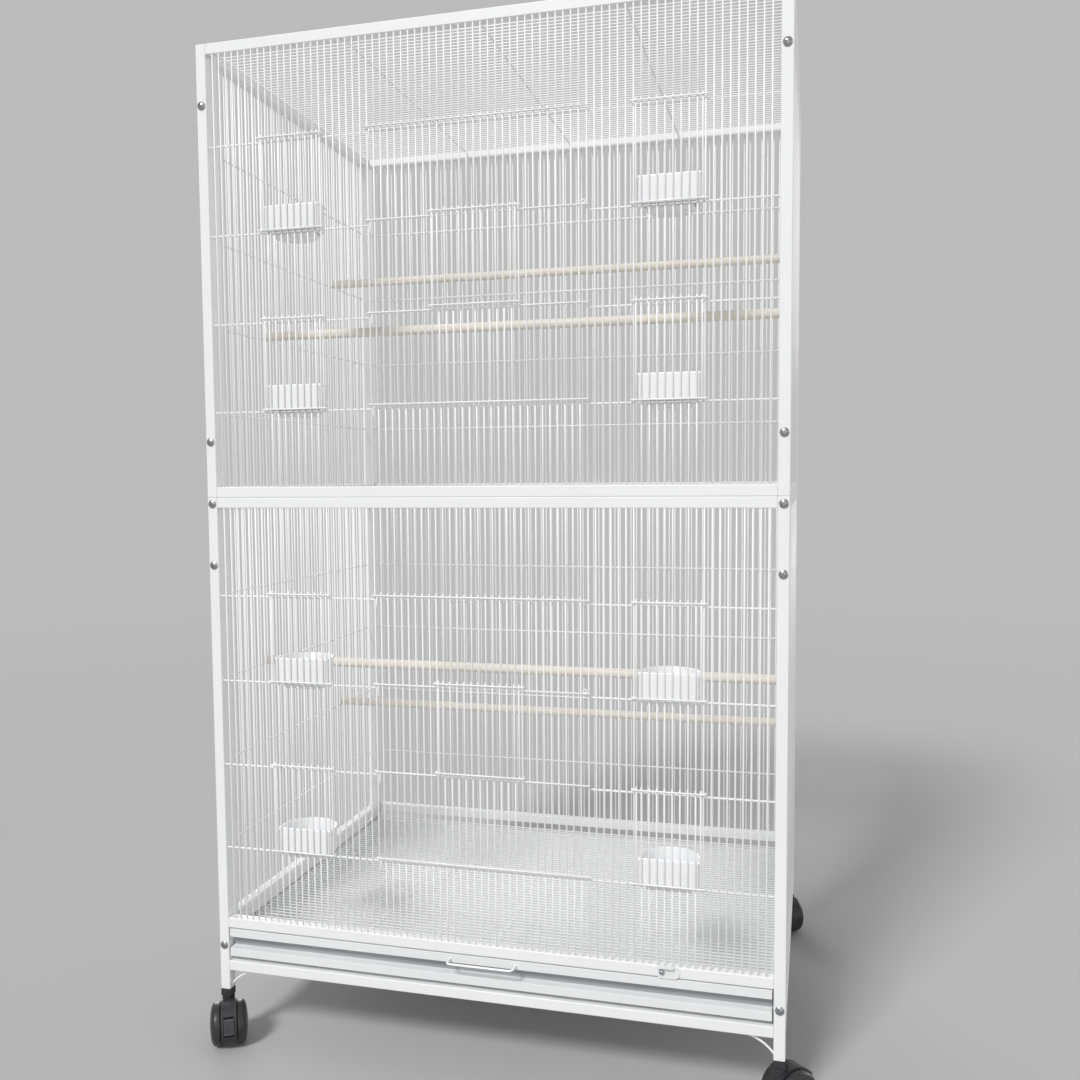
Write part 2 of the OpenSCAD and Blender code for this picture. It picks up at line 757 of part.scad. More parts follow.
module brake_lever() {
    w = slot_w - 1;
    drop = 18;
    t = 4;
    face = trail + hood_r + 1;
    difference() {
        union() {
            translate([-w / 2, face - t, lever_z - drop]) cube([w, t, drop]);
            translate([-w / 2, lever_y, lever_z - 3.5]) cube([w, face - lever_y, 5]);
            translate([-w / 2, lever_y, lever_z]) rotate([0, 90, 0]) cylinder(r = 3.5, h = w, $fn = 32);
        }
        translate([-w, lever_y, lever_z]) rotate([0, 90, 0]) cylinder(r = lever_pin + fit, h = 2 * w, $fn = 24);
        translate([-w / 2 + 3, face - 1, lever_z - drop + 5]) cube([w - 6, 2, drop - 11]);
    }
}

module caster_hood(i) {
    color(hood_plastic) at_caster(i) hood(i < 2);
}

module caster_wheels(i) {
    color(tyre_plastic) at_caster(i) wheels();
}

module caster_lever(i) {
    color("gray") at_caster(i) brake_lever();
}

color(coat) front_frame(upper_z, upper_screws);  // upper_front_frame
color(coat) rotate([0, 0, 180]) front_frame(upper_z, upper_screws);  // upper_back_frame
color(coat) side_frame(upper_z, upper_screws, -1);  // upper_left_frame
color(coat) side_frame(upper_z, upper_screws, 1);  // upper_right_frame
color(coat) front_frame(lower_z, lower_screws, true);  // lower_front_frame
color(coat) rotate([0, 0, 180]) front_frame(lower_z, lower_screws);  // lower_back_frame
color(coat) side_frame(lower_z, lower_screws, -1);  // lower_left_frame
color(coat) side_frame(lower_z, lower_screws, 1);  // lower_right_frame
color(coat) front_grille(upper_z);  // upper_front_grille
color(coat) front_grille(lower_z);  // lower_front_grille
color(coat) back_grille(upper_z);  // upper_back_grille
color(coat) back_grille(lower_z);  // lower_back_grille
color(coat) side_grille(upper_z, -1);  // upper_left_grille
color(coat) side_grille(lower_z, -1);  // lower_left_grille
color(coat) side_grille(upper_z, 1);  // upper_right_grille
color(coat) side_grille(lower_z, 1);  // lower_right_grille
ceiling_grille();
floor_grille();
tray_runners();
leg_braces();
leg_plugs();
screws();
cup_rings();
perch(upper_z, 3, perch_1_y);  // upper_back_perch
perch(upper_z, 2, perch_2_y);  // upper_front_perch
perch(lower_z, 3, perch_3_y);  // lower_front_perch
perch(lower_z, 2, perch_4_y);  // lower_back_perch
for (i = [0:7]) feeder_cup(i);
for (i = [0:7]) feeder_door(i);
main_door(upper_z);  // upper_main_door
main_door(lower_z);  // lower_main_door
inner_door(upper_z);  // upper_inner_door
inner_door(lower_z);  // lower_inner_door
tray();
tray_handle();
latch_tab();
caster_hood(0);  // front_left_hood
caster_hood(1);  // front_right_hood
caster_hood(2);  // back_left_hood
caster_hood(3);  // back_right_hood
caster_wheels(0);  // front_left_wheels
caster_wheels(1);  // front_right_wheels
caster_wheels(2);  // back_left_wheels
caster_wheels(3);  // back_right_wheels
caster_lever(0);  // left_brake_lever
caster_lever(1);  // right_brake_lever
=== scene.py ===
"""Dresses the indoor aviary's frame: round wires, square tubes, cups, dowels, tray and casters.

Metres, in the row frame: +X right, front towards -Y, +Z up, floor at z = 0.
"""

import json
import math

import bmesh
import bpy
from mathutils import Matrix, Vector


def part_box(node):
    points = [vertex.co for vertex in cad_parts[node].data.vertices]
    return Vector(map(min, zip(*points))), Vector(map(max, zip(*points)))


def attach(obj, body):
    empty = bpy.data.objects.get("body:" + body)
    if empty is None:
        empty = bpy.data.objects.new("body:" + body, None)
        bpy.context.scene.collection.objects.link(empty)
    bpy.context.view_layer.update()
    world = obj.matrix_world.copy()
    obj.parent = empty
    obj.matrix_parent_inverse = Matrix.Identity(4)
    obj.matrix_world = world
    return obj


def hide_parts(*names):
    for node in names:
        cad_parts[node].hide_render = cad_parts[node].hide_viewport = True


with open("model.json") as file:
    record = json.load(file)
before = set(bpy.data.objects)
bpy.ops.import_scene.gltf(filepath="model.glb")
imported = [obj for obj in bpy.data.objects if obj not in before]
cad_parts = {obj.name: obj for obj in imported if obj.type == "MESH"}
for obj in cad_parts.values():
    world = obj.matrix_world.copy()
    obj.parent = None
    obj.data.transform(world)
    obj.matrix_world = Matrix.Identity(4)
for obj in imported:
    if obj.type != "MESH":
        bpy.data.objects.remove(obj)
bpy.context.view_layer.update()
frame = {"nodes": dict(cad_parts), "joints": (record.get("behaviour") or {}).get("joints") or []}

MM = 0.001

# Layout shared with the solids; columns are counted in wires from the left post
PITCH = 10 * MM
GAPS_WIDE = 78
GAPS_DEEP = 52
LEVEL_FIRST = 120 * MM
LEVEL_STEP = 123 * MM
LEVELS = (1, 2, 3, 4)
FEED_COLUMNS = (8, 60)
FEED_GAPS = 9
MAIN_LEFT, MAIN_RIGHT = 24, 54
INNER_LEFT, INNER_RIGHT = 33, 45

# Wire radii, the depth of a weld, the air between sliding wires, and how far out each layer lies
BAR_R = 1.1 * MM
LEVEL_R = 1.4 * MM
WELD = 0.3 * MM
RUN = 0.5 * MM
WIRE_INSET = 0.5 * MM
LEVEL_OFF = BAR_R + LEVEL_R - WELD
SAME_OFF = 2 * BAR_R - WELD
DOOR_OFF = 2 * BAR_R + RUN
DOOR_LEVEL_OFF = DOOR_OFF + SAME_OFF
INNER_OFF = DOOR_LEVEL_OFF + 2 * BAR_R + RUN
INNER_LEVEL_OFF = INNER_OFF + SAME_OFF
DOOR_RISE = 6 * MM
INNER_RISE = 5 * MM
DOOR_TAIL = 4 * MM


def low(node):
    return Vector(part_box(node)[0])


def high(node):
    return Vector(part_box(node)[1])


# Places read from the frame
TUBE = high("upper_front_frame").y - low("upper_front_frame").y
HALF_W = high("upper_front_frame").x
FRONT_Y = low("upper_front_frame").y
UPPER_Z = low("upper_front_frame").z
TOP_Z = high("upper_front_frame").z
PANEL_H = TOP_Z - UPPER_Z
LOWER_Z = UPPER_Z - PANEL_H
FOOT_Z = low("lower_left_frame").z
INNER_W = 2 * (HALF_W - TUBE)
BAR_Y = FRONT_Y + WIRE_INSET + BAR_R
SIDE_X = HALF_W - WIRE_INSET - BAR_R
SIDE_HALF = high("upper_left_frame").y
SIDE_INNER = SIDE_HALF - TUBE


def bar_x(k):
    """Middle of upright wire k of the front or the back."""
    return -INNER_W / 2 + k * PITCH


def level_z(base, n):
    """Height of level wire n of the section that stands on base."""
    return base + LEVEL_FIRST + (n - 1) * LEVEL_STEP


# Materials

RAMP_LOW, RAMP_HIGH = 0.3, 0.7
BUMP_STRENGTH = 0.5
BUMP_DETAIL = 2.0


def shader(name, colour, roughness, specular=0.5, metallic=0.0):
    mat = bpy.data.materials.new(name)
    mat.use_nodes = True
    bsdf = mat.node_tree.nodes["Principled BSDF"]
    bsdf.inputs["Base Color"].default_value = (*colour, 1)
    bsdf.inputs["Roughness"].default_value = roughness
    bsdf.inputs["Specular IOR Level"].default_value = specular
    bsdf.inputs["Metallic"].default_value = metallic
    return mat


def noise(tree, vector, scale, detail):
    node = tree.nodes.new("ShaderNodeTexNoise")
    node.inputs["Scale"].default_value = scale
    node.inputs["Detail"].default_value = detail
    tree.links.new(vector, node.inputs["Vector"])
    return node.outputs["Fac"]


def vary(
    mat, dark, light, scale, stretch=(1, 1, 1), detail=3.0, gloss=0.0, fine=0.0, height=0.0
):
    """Drifts the colour from dark to light and the roughness by gloss, and adds bumps.

    The drift has the noise scale, stretched by stretch; the bumps have the scale fine.
    """
    tree = mat.node_tree
    bsdf = tree.nodes["Principled BSDF"]
    coord = tree.nodes.new("ShaderNodeTexCoord")
    mapping = tree.nodes.new("ShaderNodeMapping")
    mapping.inputs["Scale"].default_value = stretch
    tree.links.new(coord.outputs["Object"], mapping.inputs["Vector"])
    broad = noise(tree, mapping.outputs["Vector"], scale, detail)
    ramp = tree.nodes.new("ShaderNodeValToRGB")
    stops = ramp.color_ramp.elements
    stops[0].position, stops[0].color = RAMP_LOW, (*dark, 1)
    stops[1].position, stops[1].color = RAMP_HIGH, (*light, 1)
    tree.links.new(broad, ramp.inputs["Fac"])
    tree.links.new(ramp.outputs["Color"], bsdf.inputs["Base Color"])
    if gloss:
        spread = tree.nodes.new("ShaderNodeMapRange")
        base = bsdf.inputs["Roughness"].default_value
        spread.inputs["From Min"].default_value = RAMP_LOW
        spread.inputs["From Max"].default_value = RAMP_HIGH
        spread.inputs["To Min"].default_value = base + gloss
        spread.inputs["To Max"].default_value = base - gloss
        tree.links.new(broad, spread.inputs["Value"])
        tree.links.new(spread.outputs["Result"], bsdf.inputs["Roughness"])
    if height:
        bump = tree.nodes.new("ShaderNodeBump")
        bump.inputs["Distance"].default_value = height
        bump.inputs["Strength"].default_value = BUMP_STRENGTH
        grain = noise(tree, mapping.outputs["Vector"], fine, BUMP_DETAIL)
        tree.links.new(grain, bump.inputs["Height"])
        tree.links.new(bump.outputs["Normal"], bsdf.inputs["Normal"])
    return mat


TUBE_COAT = vary(
    shader("tube_coat", (0.87, 0.88, 0.885), 0.36),
    (0.86, 0.868, 0.873), (0.885, 0.893, 0.898), 9.0,
    gloss=0.05, fine=700.0, height=0.03 * MM,
)
COAT = vary(
    shader("wire_coat", (0.92, 0.925, 0.93), 0.32),
    (0.91, 0.916, 0.92), (0.93, 0.936, 0.94), 30.0,
    gloss=0.05,
)
SHEET = vary(
    shader("coated_sheet", (0.81, 0.825, 0.835), 0.4),
    (0.795, 0.808, 0.818), (0.825, 0.838, 0.846), 6.0,
    gloss=0.06, fine=600.0, height=0.04 * MM,
)
# Painted shade: dark grey for the groove's back wall, standing in for the shade and dark reflection
# in the recess
GROOVE_PAINTED_SHADE = vary(
    shader("groove_painted_shade", (0.34, 0.352, 0.365), 0.42),
    (0.31, 0.322, 0.335), (0.375, 0.388, 0.402), 6.0,
    gloss=0.06, fine=600.0, height=0.04 * MM,
)
CUP = vary(
    shader("cup_plastic", (0.91, 0.92, 0.935), 0.28),
    (0.9, 0.911, 0.926), (0.92, 0.93, 0.944), 25.0,
    gloss=0.05, fine=350.0, height=0.06 * MM,
)
WOOD = vary(
    shader("perch_wood", (0.82, 0.76, 0.66), 0.62, specular=0.3),
    (0.79, 0.725, 0.64), (0.89, 0.85, 0.79), 420.0, stretch=(0.03, 1, 1), detail=5.0,
    gloss=0.08, fine=900.0, height=0.12 * MM,
)
ZINC = vary(
    shader("zinc", (0.4, 0.41, 0.43), 0.28, metallic=1.0),
    (0.34, 0.35, 0.37), (0.48, 0.49, 0.5), 500.0,
    gloss=0.08,
)
HOOD = vary(
    shader("caster_plastic", (0.03, 0.031, 0.034), 0.42),
    (0.026, 0.027, 0.03), (0.036, 0.037, 0.04), 60.0,
    gloss=0.06, fine=1400.0, height=0.05 * MM,
)
WHEEL = vary(
    shader("wheel_plastic", (0.026, 0.026, 0.029), 0.36),
    (0.022, 0.022, 0.025), (0.034, 0.034, 0.036), 90.0,
    gloss=0.07, fine=1100.0, height=0.04 * MM,
)
LEVER = vary(
    shader("lever_plastic", (0.06, 0.062, 0.068), 0.45),
    (0.054, 0.056, 0.061), (0.068, 0.07, 0.076), 80.0,
    gloss=0.05, fine=1400.0, height=0.05 * MM,
)


# Meshes

BEVEL_ANGLE = 40
SHARP_ANGLE = 50
WIRE_SIDES = 12


def round_edges(obj, width, segments, angle):
    """Rounds the edges that are sharper than angle, in degrees."""
    mod = obj.modifiers.new("edges", "BEVEL")
    mod.width = width
    mod.segments = segments
    mod.limit_method = "ANGLE"
    mod.angle_limit = math.radians(angle)
    mod.harden_normals = True


def finish(name, bm, material, body, nodes, bevel=0.0, segments=2):
    """Turns a bmesh into an object that rides on a body and stands for CAD nodes."""
    bmesh.ops.recalc_face_normals(bm, faces=bm.faces)
    mesh = bpy.data.meshes.new(name)
    bm.to_mesh(mesh)
    bm.free()
    mesh.materials.append(material)
    obj = bpy.data.objects.new(name, mesh)
    bpy.context.scene.collection.objects.link(obj)
    for poly in mesh.polygons:
        poly.use_smooth = True
    if bevel:
        round_edges(obj, bevel, segments, BEVEL_ANGLE)
    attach(obj, body)
    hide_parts(*nodes)
    return obj


def dress_node(node, material, bevel=0.0, segments=2, angle=35):
    """Shades and paints a CAD node, with its sharp edges rounded if a width is given."""
    obj = frame["nodes"][node]
    for poly in obj.data.polygons:
        poly.use_smooth = True
    if bevel:
        round_edges(obj, bevel, segments, angle)
    else:
        obj.data.set_sharp_from_angle(angle=math.radians(angle))
    obj.data.materials.clear()
    obj.data.materials.append(material)


def block(bm, lo, hi):
    """Adds an axis-aligned box from corner lo to corner hi."""
    corners = [
        bm.verts.new((x, y, z))
        for z in (lo[2], hi[2]) for y in (lo[1], hi[1]) for x in (lo[0], hi[0])
    ]
    sides = ((0, 2, 3, 1), (4, 5, 7, 6), (0, 1, 5, 4), (2, 6, 7, 3), (0, 4, 6, 2), (1, 3, 7, 5))
    for side in sides:
        bm.faces.new([corners[i] for i in side])


def circle(count):
    """Angles of count points round a circle."""
    return [2 * math.pi * i / count for i in range(count)]


def tube_along(bm, points, radius, closed=False, sides=WIRE_SIDES, chamfer=0.25 * MM):
    """Sweeps a round wire along points, with slightly broken ends."""
    points = [Vector(p) for p in points]
    count = len(points)
    if closed:
        spans = [(points[i - 1], points[(i + 1) % count]) for i in range(count)]
    else:
        spans = [(points[max(i - 1, 0)], points[min(i + 1, count - 1)]) for i in range(count)]
    stations = [(p, (b - a).normalized(), radius) for p, (a, b) in zip(points, spans)]
    if not closed:
        first, last = stations[0], stations[-1]
        cut = min(chamfer, radius / 3)
        stations = (
            [(first[0], first[1], radius - cut), (first[0] + first[1] * cut, first[1], radius)]
            + stations[1:-1]
            + [(last[0] - last[1] * cut, last[1], radius), (last[0], last[1], radius - cut)]
        )
    normal = stations[0][1].orthogonal().normalized()
    rings = []
    previous = stations[0][1]
    for centre, tangent, r in stations:
        normal = previous.rotation_difference(tangent) @ normal
        normal = (normal - tangent * normal.dot(tangent)).normalized()
        side = tangent.cross(normal)
        previous = tangent
        rings.append([
            bm.verts.new(centre + (normal * math.cos(a) + side * math.sin(a)) * r)
            for a in circle(sides)
        ])
    pairs = list(zip(rings, rings[1:]))
    if closed:
        pairs.append((rings[-1], rings[0]))
    for a, b in pairs:
        for i in range(sides):
            j = (i + 1) % sides
            bm.faces.new((a[i], a[j], b[j], b[i]))
    if not closed:
        bm.faces.new(list(reversed(rings[0])))
        bm.faces.new(rings[-1])


def arc(centre, radius, start, end, steps, z, end_z=None, end_radius=None):
    """Points on an arc in the XY plane, angles in degrees, or on a screw or spiral to the end."""
    end_z = z if end_z is None else end_z
    end_radius = radius if end_radius is None else end_radius
    points = []
    for i in range(steps + 1):
        t = i / steps
        a = math.radians(start + (end - start) * t)
        r = radius + (end_radius - radius) * t
        x, y = centre[0] + r * math.cos(a), centre[1] + r * math.sin(a)
        points.append(Vector((x, y, z + (end_z - z) * t)))
    return points


def upright(bm, x, y, z0, z1):
    tube_along(bm, [(x, y, z0), (x, y, z1)], BAR_R)


def across(bm, x0, x1, y, z, radius=LEVEL_R):
    tube_along(bm, [(x0, y, z), (x1, y, z)], radius)


def rings_to_mesh(bm, rings):
    """Joins rings of equal point counts into a closed skin."""
    made = [[bm.verts.new(p) for p in ring] for ring in rings]
    count = len(made[0])
    for a, b in zip(made, made[1:]):
        for i in range(count):
            j = (i + 1) % count
            bm.faces.new((a[i], a[j], b[j], b[i]))
    bm.faces.new(list(reversed(made[0])))
    bm.faces.new(made[-1])


# Frames of square tube

TUBE_ROUND = 1.3 * MM


def rail_heights(node, lower):
    """Bottom edges of a frame's rails."""
    rails = [LOWER_Z if lower else UPPER_Z, high(node).z - TUBE]
    return rails + [FOOT_Z] if lower else rails


def finish_frame(node, bm):
    finish(node + "_tube", bm, TUBE_COAT, "cage", [node], TUBE_ROUND, 3)


def front_or_back_frame(node, lower):
    bm = bmesh.new()
    lo, hi = low(node), high(node)
    for x in (lo.x, hi.x - TUBE):
        block(bm, (x, lo.y, lo.z), (x + TUBE, hi.y, hi.z))
    for z in rail_heights(node, lower):
        block(bm, (lo.x + TUBE, lo.y, z), (hi.x - TUBE, hi.y, z + TUBE))
    finish_frame(node, bm)


def side_frame(node, lower):
    bm = bmesh.new()
    lo, hi = low(node), high(node)
    for y in (lo.y, hi.y - TUBE):
        block(bm, (lo.x, y, lo.z), (hi.x, y + TUBE, hi.z))
    for z in rail_heights(node, lower):
        block(bm, (lo.x, lo.y + TUBE, z), (hi.x, hi.y - TUBE, z + TUBE))
    finish_frame(node, bm)


for section in ("upper", "lower"):
    for side in ("front", "back"):
        front_or_back_frame(f"{section}_{side}_frame", section == "lower")
    for side in ("left", "right"):
        side_frame(f"{section}_{side}_frame", section == "lower")


# Fixed wires

CEILING_CROSS = 3
FLOOR_CROSS = 5
FLOOR_CROSS_INSET = 3 * MM


def finish_grille(node, bm):
    finish(node + "_wires", bm, COAT, "cage", [node])


def bar_runs(k, base):
    """Where one upright front wire runs, as (bottom, top) pairs."""
    bottom, top = base + TUBE, base + PANEL_H - TUBE
    if any(c < k < c + FEED_GAPS for c in FEED_COLUMNS):
        return [
            (bottom, level_z(base, 1) + LEVEL_R),
            (level_z(base, 2) - LEVEL_R, level_z(base, 3) + LEVEL_R),
            (level_z(base, 4) - LEVEL_R, top),
        ]
    if MAIN_LEFT < k < MAIN_RIGHT:
        return [(bottom, level_z(base, 1) + LEVEL_R), (level_z(base, 4) - LEVEL_R, top)]
    return [(bottom, top)]


def front_grille(section, base):
    bm = bmesh.new()
    for k in range(1, GAPS_WIDE):
        # The main door's hinge rod stands a weld's depth further out
        out = WELD if k == MAIN_LEFT else 0
        for z0, z1 in bar_runs(k, base):
            upright(bm, bar_x(k), BAR_Y - out, z0, z1)
    y = BAR_Y + LEVEL_OFF
    for n in LEVELS:
        z = level_z(base, n)
        if n in (LEVELS[0], LEVELS[-1]):
            across(bm, -INNER_W / 2, INNER_W / 2, y, z)
        else:
            across(bm, -INNER_W / 2, bar_x(MAIN_LEFT) + BAR_R, y, z)
            across(bm, bar_x(MAIN_RIGHT) - BAR_R, INNER_W / 2, y, z)
    finish_grille(f"{section}_front_grille", bm)


def back_grille(section, base):
    bm = bmesh.new()
    for k in range(1, GAPS_WIDE):
        upright(bm, bar_x(k), -BAR_Y, base + TUBE, base + PANEL_H - TUBE)
    for n in LEVELS:
        across(bm, -INNER_W / 2, INNER_W / 2, -BAR_Y - LEVEL_OFF, level_z(base, n))
    finish_grille(f"{section}_back_grille", bm)


def side_grille(section, base, side, sign):
    bm = bmesh.new()
    for k in range(1, GAPS_DEEP):
        y = -SIDE_INNER + k * PITCH
        upright(bm, sign * SIDE_X, y, base + TUBE, base + PANEL_H - TUBE)
    x = sign * (SIDE_X - LEVEL_OFF)
    for n in LEVELS:
        z = level_z(base, n)
        tube_along(bm, [(x, -SIDE_INNER, z), (x, SIDE_INNER, z)], LEVEL_R)
    finish_grille(f"{section}_{side}_grille", bm)


def deck(node, cross, edge, cross_on_top):
    """Close wires along X with cross wires along Y over or under them, from -edge to edge."""
    bm = bmesh.new()
    lo, hi = low(node), high(node)
    z = lo.z + BAR_R if cross_on_top else hi.z - BAR_R
    cross_z = z + LEVEL_OFF if cross_on_top else z - LEVEL_OFF
    rows = round((hi.y - lo.y) / PITCH) - 1
    step = (hi.y - lo.y) / (rows + 1)
    for k in range(1, rows + 1):
        across(bm, lo.x, hi.x, lo.y + k * step, z, BAR_R)
    for k in range(cross):
        x = -edge + 2 * edge * k / (cross - 1)
        tube_along(bm, [(x, lo.y, cross_z), (x, hi.y, cross_z)], LEVEL_R)
    finish_grille(node, bm)


SECTIONS = (("upper", UPPER_Z), ("lower", LOWER_Z))
for section, base in SECTIONS:
    front_grille(section, base)
    back_grille(section, base)
    side_grille(section, base, "left", -1)
    side_grille(section, base, "right", 1)
deck("ceiling_grille", CEILING_CROSS, INNER_W / 4, True)
deck("floor_grille", FLOOR_CROSS, high("floor_grille").x - FLOOR_CROSS_INSET, False)


# Wire doors

HOOK_R = 2 * BAR_R + RUN
HOOK_BEND = 1.6 * MM
HOOK_TIP = 2.4 * BAR_R
WIRE_START = 8 * MM
END_BAR = HOOK_R + 0.6 * MM


def hook(bm, x, wire_y, rail_y, z, inward):
    """End of a sliding wire: past the rail wire, round behind it and back to the front."""
    out = -inward * HOOK_R
    centre = (x + out - math.copysign(HOOK_BEND, out), wire_y + HOOK_BEND)
    start, end = (-90, 0) if out > 0 else (-90, -180)
    points = [Vector((x + inward * WIRE_START, wire_y, z)), Vector((centre[0], wire_y, z))]
    points += arc(centre, HOOK_BEND, start, end, 5, z)[1:]
    sweep = (0, 180) if out > 0 else (180, 0)
    points += arc((x, rail_y), HOOK_R, *sweep, 12, z)
    points.append(Vector((x - out, wire_y + HOOK_TIP, z)))
    tube_along(bm, points, BAR_R)


def sliding_door(node, left, gaps, bars_off, wires_off, rail_off, z_low, z_high):
    """A wire door that hooks round the rail wires at its left and right.

    The offsets say how far its uprights, its level wires and the rails lie in front of
    the grille's uprights.
    """
    bm = bmesh.new()
    right = left + gaps * PITCH
    ends = [left + END_BAR, right - END_BAR]
    for x in ends + [left + k * PITCH for k in range(1, gaps)]:
        upright(bm, x, BAR_Y - bars_off, z_low - DOOR_TAIL, z_high + DOOR_TAIL)
    for z in (z_low, z_high):
        across(bm, left + WIRE_START, right - WIRE_START, BAR_Y - wires_off, z, BAR_R)
        hook(bm, left, BAR_Y - wires_off, BAR_Y - rail_off, z, 1)
        hook(bm, right, BAR_Y - wires_off, BAR_Y - rail_off, z, -1)
    finish(node + "_wires", bm, COAT, node, [node])


def feed_level(i):
    """Level wire under feeder door i; two doors stand on each of four heights."""
    base = UPPER_Z if i < 4 else LOWER_Z
    return level_z(base, 3 if (i // 2) % 2 == 0 else 1)


def feed_left(i):
    return bar_x(FEED_COLUMNS[i % 2])


for i in range(8):
    node = f"feeder_door_{i + 1}"
    z_low = feed_level(i) + BAR_R + LEVEL_R + RUN
    z_high = high(node).z - DOOR_TAIL
    sliding_door(node, feed_left(i), FEED_GAPS, DOOR_OFF, DOOR_LEVEL_OFF, 0, z_low, z_high)


COIL_R = 2 * BAR_R + 0.12 * MM
COIL_LEAD = 0.5 * MM
COIL_DIP = 0.4 * MM
COIL_DROP = 2.8 * MM
TAIL_X = 3.5 * MM
TAIL_DROP = 17 * MM
DOOR_OVER = 2.5 * MM
CATCH_IN = 4 * MM
CATCH_UP = 3.4 * MM
CATCH_R = 2.4 * MM
CATCH_WIRE_R = 0.9 * MM


def hinge_coil(bm, z):
    """Wire end that closes in on the hinge rod and then makes one turn downwards."""
    centre = (bar_x(MAIN_LEFT), BAR_Y - WELD)
    wire_y = BAR_Y - DOOR_LEVEL_OFF
    points = [Vector((centre[0] + lead, wire_y, z)) for lead in (WIRE_START, COIL_LEAD)]
    points += arc(centre, centre[1] - wire_y, -90, -200, 8, z, z - COIL_DIP, COIL_R)
    points += arc(centre, COIL_R, -200, -560, 22, z - COIL_DIP, z - COIL_DROP)[1:]
    tube_along(bm, points, BAR_R)


def main_door(section, base):
    """Wires with a gap for the inner door, coils on the hinge rod and a catch ring."""
    bm = bmesh.new()
    rise = DOOR_RISE
    bottom, top = level_z(base, 1) + rise - DOOR_TAIL, level_z(base, 4) + rise + DOOR_TAIL
    wire_y = BAR_Y - DOOR_LEVEL_OFF
    for k in range(MAIN_LEFT + 1, MAIN_RIGHT):
        x = bar_x(k)
        if INNER_LEFT < k < INNER_RIGHT:
            upright(bm, x, BAR_Y - DOOR_OFF, bottom, level_z(base, 2) + rise + BAR_R)
            upright(bm, x, BAR_Y - DOOR_OFF, level_z(base, 3) + rise - BAR_R, top)
        else:
            upright(bm, x, BAR_Y - DOOR_OFF, bottom, top)
    left, right = bar_x(MAIN_LEFT), bar_x(MAIN_RIGHT)
    for n in LEVELS:
        z = level_z(base, n) + rise
        across(bm, left + WIRE_START, right + DOOR_OVER, wire_y, z, BAR_R)
        hinge_coil(bm, z)
        upright(bm, left + TAIL_X, BAR_Y - DOOR_OFF, z - TAIL_DROP, z)
    catch = Vector((right - CATCH_IN, wire_y, level_z(base, 3) + rise + CATCH_UP))
    ring = [catch + CATCH_R * Vector((math.cos(a), 0, math.sin(a))) for a in circle(16)]
    tube_along(bm, ring, CATCH_WIRE_R, closed=True)
    node = f"{section}_main_door"
    finish(node + "_wires", bm, COAT, node, [node])


for section, base in SECTIONS:
    main_door(section, base)
    z_low = level_z(base, 2) + DOOR_RISE + INNER_RISE
    sliding_door(
        f"{section}_inner_door", bar_x(INNER_LEFT), INNER_RIGHT - INNER_LEFT,
        INNER_OFF, INNER_LEVEL_OFF, DOOR_OFF, z_low, z_low + LEVEL_STEP,
    )


# Cups: the upper part hangs out over the level wire, the lower part stands behind it

CUP_WALL = 2 * MM
CUP_LIP = 1.2 * MM
CUP_CORNER = 2.5 * MM
CUP_STRAIGHT = 10 * MM
CUP_AIR = 0.3 * MM
CUP_AIR_BEHIND = 0.6 * MM
CUP_OVER = DOOR_OFF - BAR_R - CUP_AIR + LEVEL_OFF + LEVEL_R + CUP_AIR_BEHIND
CUP_LOW_HALF = 30 * MM
CUP_DROP = 8 * MM
CORNER_STEPS = 4
BACK_STEPS = 28


def d_outline(half, front, z):
    """Points round a D: flat front at y = front, half-round back about the cup's middle."""
    straight = CUP_STRAIGHT + CUP_OVER
    corner = min(CUP_CORNER, half * 0.5, (straight - front) * 0.9)
    points = []
    for x, start in ((corner - half, 180), (half - corner, 270)):
        points += arc((x, front + corner), corner, start, start + 90, CORNER_STEPS, z)
    return points + arc((0, straight), half, 0, 180, BACK_STEPS, z)


def cup(i):
    node = f"feeder_cup_{i + 1}"
    lo, hi = low(node), high(node)
    level = feed_level(i)
    mid = (lo.x + hi.x) / 2
    top = hi.z - level
    half = (hi.x - lo.x) / 2
    body = half - CUP_LIP
    low_half = CUP_LOW_HALF
    step = lo.z - level + CUP_DROP + LEVEL_R + CUP_AIR
    w = CUP_WALL
    f = CUP_OVER
    # (half width, front, height above the level wire), up the outside and down the inside
    profile = [
        (low_half - 2.5 * MM, f + 2.5 * MM, -CUP_DROP),
        (low_half - 0.7 * MM, f + 0.7 * MM, -CUP_DROP + 0.7 * MM),
        (low_half, f, -CUP_DROP + 2.5 * MM),
        (low_half, f, step - 0.6 * MM),
        (low_half + 0.6 * MM, f, step),
        (body - 2 * MM, 1.2 * MM, step),
        (body - 0.6 * MM, 0.2 * MM, step + 0.6 * MM),
        (body, 0, step + 2 * MM),
        (body, 0, top - 3.6 * MM),
        (half - 0.3 * MM, 0, top - 3 * MM),
        (half, 0, top - 2.6 * MM),
        (half, 0, top - 0.8 * MM),
        (half - 0.3 * MM, 0.3 * MM, top - 0.2 * MM),
        (half - 0.9 * MM, 0.9 * MM, top),
        (body - w + 0.8 * MM, w - 0.8 * MM, top),
        (body - w, w, top - 0.8 * MM),
        (body - w, w, step + w + 2 * MM),
        (body - w - 2 * MM, w + 1.2 * MM, step + w),
        (low_half - w, f + w, step + w - 0.6 * MM),
        (low_half - w, f + w, w - CUP_DROP + 1.5 * MM),
        (low_half - w - 1.5 * MM, f + w + 1.5 * MM, w - CUP_DROP),
    ]
    bm = bmesh.new()
    place = Vector((mid, lo.y, level))
    rings_to_mesh(bm, [[place + point for point in d_outline(*line)] for line in profile])
    obj = finish(node + "_shell", bm, CUP, "cage", [node])
    obj.data.set_sharp_from_angle(angle=math.radians(SHARP_ANGLE))


for i in range(8):
    cup(i)


# Perches

PERCH_SIDES = 32
PERCH_CHAMFER = 1.2 * MM


